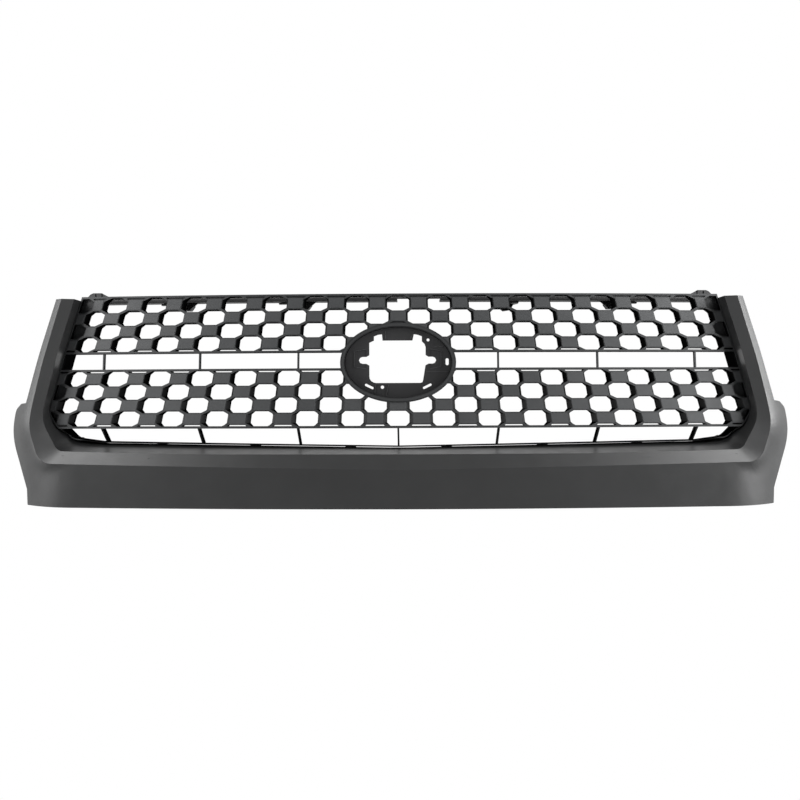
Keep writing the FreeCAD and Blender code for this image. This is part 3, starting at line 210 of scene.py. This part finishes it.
materials = {
    "surround_plastic": moulded_plastic(
        "surround_plastic", (0.016, 0.0163, 0.0166), (0.020, 0.0203, 0.0206),
        gloss=(0.36, 0.42), grain=(1400.0, 0.0001)),
    # The mesh insert carries painted shade on its hole walls, whose colour is cut to 0.12 of the rest.
    "mesh_plastic": moulded_plastic(
        "mesh_plastic", (0.030, 0.031, 0.032), (0.036, 0.037, 0.038),
        gloss=(0.42, 0.50), grain=(1800.0, 0.0001), ior=1.3, painted_wall_shade=0.12),
    "emblem_plastic": moulded_plastic(
        "emblem_plastic", (0.018, 0.018, 0.019), (0.024, 0.024, 0.025),
        gloss=(0.45, 0.55), grain=(1500.0, 0.0001), ior=1.35),
    "rail_plastic": moulded_plastic(
        "rail_plastic", (0.030, 0.030, 0.031), (0.038, 0.038, 0.039),
        gloss=(0.55, 0.65), grain=(900.0, 0.0002), ior=1.35),
    "clip_plastic": moulded_plastic(
        "clip_plastic", (0.010, 0.010, 0.010), (0.014, 0.014, 0.014),
        gloss=(0.35, 0.45), grain=(900.0, 0.0001)),
    "stop_rubber": moulded_plastic(
        "stop_rubber", (0.012, 0.012, 0.012), (0.018, 0.018, 0.018),
        gloss=(0.75, 0.85), grain=(600.0, 0.0002), ior=1.3),
    "nut_steel": moulded_plastic(
        "nut_steel", (0.42, 0.40, 0.36), (0.50, 0.48, 0.44),
        gloss=(0.30, 0.40), grain=(900.0, 0.0001), metallic=1.0),
    "screw_steel": moulded_plastic(
        "screw_steel", (0.05, 0.05, 0.05), (0.08, 0.08, 0.08),
        gloss=(0.30, 0.40), grain=(900.0, 0.0001), metallic=1.0),
}
tile_plastic = moulded_plastic(
    "tile_plastic", (0.044, 0.0455, 0.047), (0.054, 0.0555, 0.057),
    gloss=(0.42, 0.50), grain=(1500.0, 0.0003), ior=1.3)
# Painted highlight: the raised ridges on the emblem base are coloured far lighter than the base, standing
# in for the light lines along their edges.
ridge_painted_highlight = moulded_plastic(
    "ridge_painted_highlight", (0.05, 0.05, 0.052), (0.06, 0.06, 0.062),
    gloss=(0.40, 0.48), grain=(1500.0, 0.0001), ior=1.35)

for subpart in frame["record"]["subparts"]:
    for slot in nodes[subpart["node"]].material_slots:
        slot.material = materials[subpart["material_slot"]]


# ---------------------------------------------------------------- grained tile faces, and ridges coloured lighter as a painted highlight
# In mm, measured from the middle of the oval collar and from the mesh front there.
ORIGIN = Vector((0.0, 79.5265, 112.0))      # from there to the frame's origin
PLAN_RADIUS = 4760.0
RAKE = math.tan(math.radians(6.4))
FAN_APEX = 1900.0                           # height at which the columns would meet
PITCH = 35.85                               # half of the distance between two holes of a row, at height 0
LAST = 16                                   # columns on each side of the middle one
UPPER_ROWS = [32.9 + 21.9 * n for n in (3, 2, 1, 0)]
LOWER_ROWS = [-24.65 - 22.3 * n for n in (0, 1, 2, 3)]
HOLE_PARITY = (0, 1, 0, 1, 1, 0, 1, 0)      # even or odd columns are holes, row by row
TILE_HALF = 12.9                            # half width of a tile face, at height 0
UPPER_TILE_HALF = 7.9                       # half heights of the tile faces
LOWER_TILE_HALF = 8.3
TOP_TILE_EXTRA = 1.6                        # the top row's tiles are higher by this
TRIM = 9.0                                  # the last but one columns are narrower on their outer side
NARROWEST = 3.0                             # narrower tile faces are left out
SIDE_WALL = [(138, 528), (22, 561.5), (-80, 587.5), (-103, 572), (-127, 547)]       # height, half width
SIDE_GAP = 4.0                              # from the side wall to a tile face
COLLAR = (92.0, 63.0)                       # half axes of an oval within the collar's rim
PLATE = 13.0                                # depth of the front of the emblem base


def front_depth(x, z):
    """Depth of the mesh front."""
    return PLAN_RADIUS - math.sqrt(PLAN_RADIUS ** 2 - x * x) + RAKE * z


def plate_depth(x, z):
    return PLATE


def fan_scale(z):
    return 1 - z / FAN_APEX


def side_wall(z):
    """Half width of the mesh at a height."""
    for (z0, x0), (z1, x1) in zip(SIDE_WALL, SIDE_WALL[1:]):
        if z1 <= z <= z0:
            return x0 + (x1 - x0) * (z0 - z) / (z0 - z1)
    return SIDE_WALL[-1][1]


def in_collar(point):
    return (point[0] / COLLAR[0]) ** 2 + (point[1] / COLLAR[1]) ** 2 < 1


def collar_border(inner, outer):
    """The point of the collar's oval between a point inside it and one outside."""
    for _ in range(20):
        middle = ((inner[0] + outer[0]) / 2, (inner[1] + outer[1]) / 2)
        if in_collar(middle):
            inner = middle
        else:
            outer = middle
    return outer


def outside_collar(corners):
    """The part of a convex outline outside the collar's oval, cut off straight."""
    kept = []
    for first, second in zip(corners, corners[1:] + corners[:1]):
        if not in_collar(first):
            kept.append(first)
            if in_collar(second):
                kept.append(collar_border(second, first))
        elif not in_collar(second):
            kept.append(collar_border(first, second))
    return kept


def tile_outline(column, row, z):
    """Corners of a tile face, narrower where the side wall is near."""
    half = UPPER_TILE_HALF if z > 0 else LOWER_TILE_HALF
    top = half + (TOP_TILE_EXTRA if row == 0 else 0.0)
    side = -1 if column < 0 else 1
    corners = []
    for reach, rise in ((-1, -half), (1, -half), (1, top), (-1, top)):
        x = abs(column) * PITCH * fan_scale(z + rise) + reach * TILE_HALF * fan_scale(z)
        if abs(column) == LAST - 1 and reach > 0 or abs(column) == LAST and reach < 0:
            x -= TRIM
        corners.append((side * min(x, side_wall(z + rise) - SIDE_GAP), z + rise))
    return corners


def tile_outlines():
    outlines = []
    for row, z in enumerate(UPPER_ROWS + LOWER_ROWS):
        for column in range(-LAST, LAST + 1):
            if column % 2 == HOLE_PARITY[row]:
                continue
            low_left, low_right, top_right, top_left = tile_outline(column, row, z)
            widths = (abs(low_left[0] - low_right[0]), abs(top_right[0] - top_left[0]))
            corners = outside_collar([low_left, low_right, top_right, top_left])
            if min(widths) >= NARROWEST and len(corners) > 2:
                outlines.append(corners)
    return outlines


def ridge(x0, z0, x1, z1, width=0.9):
    """Outline of a narrow ridge between two points."""
    across = Vector((z0 - z1, x1 - x0)).normalized() * width / 2
    return [(x0 - across.x, z0 - across.y), (x1 - across.x, z1 - across.y),
            (x1 + across.x, z1 + across.y), (x0 + across.x, z0 + across.y)]


def prism_points(outline, depth, proud, sunk, inset):
    """The outline below the surface, then again above it, drawn in to its middle."""
    middle = Vector((sum(x for x, z in outline), sum(z for x, z in outline))) / len(outline)
    points = [Vector((x, depth(x, z) + sunk, z)) for x, z in outline]
    for corner in outline:
        reach = Vector(corner) - middle
        x, z = middle + reach * max(0.0, 1 - inset / reach.length)
        points.append(Vector((x, depth(x, z) - proud, z)))
    return points


def add_prisms(name, outlines, depth, proud, inset, material):
    """Closed low prisms on a surface, with a small slope at their edge."""
    sunk = 0.3
    points = []
    faces = []
    for outline in outlines:
        start = len(points)
        count = len(outline)
        points += prism_points(outline, depth, proud, sunk, inset)
        faces.append([start + n for n in range(count)])
        faces.append([start + count + n for n in reversed(range(count))])
        for n in range(count):
            following = (n + 1) % count
            faces.append([start + n, start + count + n, start + count + following, start + following])
    mesh = bpy.data.meshes.new(name)
    mesh.from_pydata([(point - ORIGIN) * 0.001 for point in points], [], faces)
    shape = bmesh.new()
    shape.from_mesh(mesh)
    bmesh.ops.recalc_face_normals(shape, faces=shape.faces)
    shape.to_mesh(mesh)
    shape.free()
    mesh.materials.append(material)
    piece = bpy.data.objects.new(name, mesh)
    bpy.context.collection.objects.link(piece)
    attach(piece, "root")


left_pad = [
    ridge(-72.6, 19.4, -52.5, 22.4), ridge(-72.6, 19.4, -72.6, -6.4), ridge(-72.6, -6.4, -52.5, -9.9)]
right_pad = [
    ridge(52.5, 22.4, 70.7, 19.4), ridge(70.7, 19.4, 70.7, -6.4), ridge(52.5, -9.9, 70.7, -6.4)]
top_panel = [ridge(-20.6, 38.2, -20.6, 52.0), ridge(19.8, 38.2, 26.0, 51.0)]
step = [ridge(46.0, -15.0, 83.0, -15.0)]
strip = [ridge(-37.9, -35.6, -38.4, -51.6), ridge(-15.8, -35.6, -20.0, -54.6)]
upper_step = [ridge(60.0, 27.0, 74.0, 27.0)]
plate_ridges = left_pad + right_pad + top_panel + step + strip + upper_step

add_prisms("tile_faces", tile_outlines(), front_depth, 0.4, 0.5, tile_plastic)
# The ridges carry the painted highlight colour.
add_prisms("plate_ridges", plate_ridges, plate_depth, 0.9, 0.0, ridge_painted_highlight)

# ---------------------------------------------------------------- floor, backdrop and light
FLOOR_REACH = 8.0
FLOOR_DROP = 0.25               # from the lowest point of the grille to the floor
AMBIENT = 0.03
WHITE = (1.0, 1.0, 1.0, 1.0)


def add_floor():
    """White to the camera; to other rays a pale floor."""
    mesh = bpy.data.meshes.new("floor")
    corners = [(-FLOOR_REACH, -FLOOR_REACH, 0), (FLOOR_REACH, -FLOOR_REACH, 0),
               (FLOOR_REACH, FLOOR_REACH, 0), (-FLOOR_REACH, FLOOR_REACH, 0)]
    mesh.from_pydata(corners, [], [(0, 1, 2, 3)])
    floor = bpy.data.objects.new("floor", mesh)
    floor.location = (0, 0, cad_box[0][2] - FLOOR_DROP)
    bpy.context.collection.objects.link(floor)
    surface = Surface("floor")
    tint = surface.blend(surface.noise(3.0), (0.86, 0.86, 0.86), (0.9, 0.9, 0.9))
    surface.link(tint, surface.shader.inputs["Base Color"])
    surface.shader.inputs["Roughness"].default_value = 0.9
    white = surface.add("ShaderNodeEmission")
    surface.white_backdrop(surface.shader.outputs["BSDF"], white.outputs["Emission"], surface.output)
    mesh.materials.append(surface.material)


def add_world():
    """White behind the object and in its reflections, faint grey light on it."""
    world = bpy.data.worlds.new("studio")
    world.use_nodes = True
    tree = Nodes(world.node_tree)
    output = tree.add("ShaderNodeOutputWorld")
    ambient = tree.add("ShaderNodeBackground")
    white = tree.add("ShaderNodeBackground")
    for background, strength in ((ambient, AMBIENT), (white, 1.0)):
        background.inputs["Color"].default_value = WHITE
        background.inputs["Strength"].default_value = strength
    tree.white_backdrop(ambient.outputs["Background"], white.outputs["Background"], output)
    bpy.context.scene.world = world


def add_area(name, place, aim, width, height, power):
    data = bpy.data.lights.new(name, "AREA")
    data.shape = "RECTANGLE"
    data.size = width
    data.size_y = height
    data.energy = power
    light = bpy.data.objects.new(name, data)
    light.location = place
    direction = Vector(aim) - Vector(place)
    light.rotation_euler = direction.to_track_quat("-Z", "Y").to_euler()
    bpy.context.collection.objects.link(light)


add_floor()
add_world()
add_area("left", (-1.05, -0.6, 0.3), (-0.6, 0.0, -0.2), 0.4, 0.8, 10)
add_area("left_side", (-1.5, -0.35, 0.1), (-0.4, 0.0, -0.2), 0.5, 0.9, 14)
add_area("right", (1.05, -0.6, 0.3), (0.6, 0.0, -0.2), 0.4, 0.8, 10)
add_area("right_side", (1.5, -0.35, 0.1), (0.4, 0.0, -0.2), 0.5, 0.9, 30)
bpy.context.scene.view_settings.view_transform = "Standard"
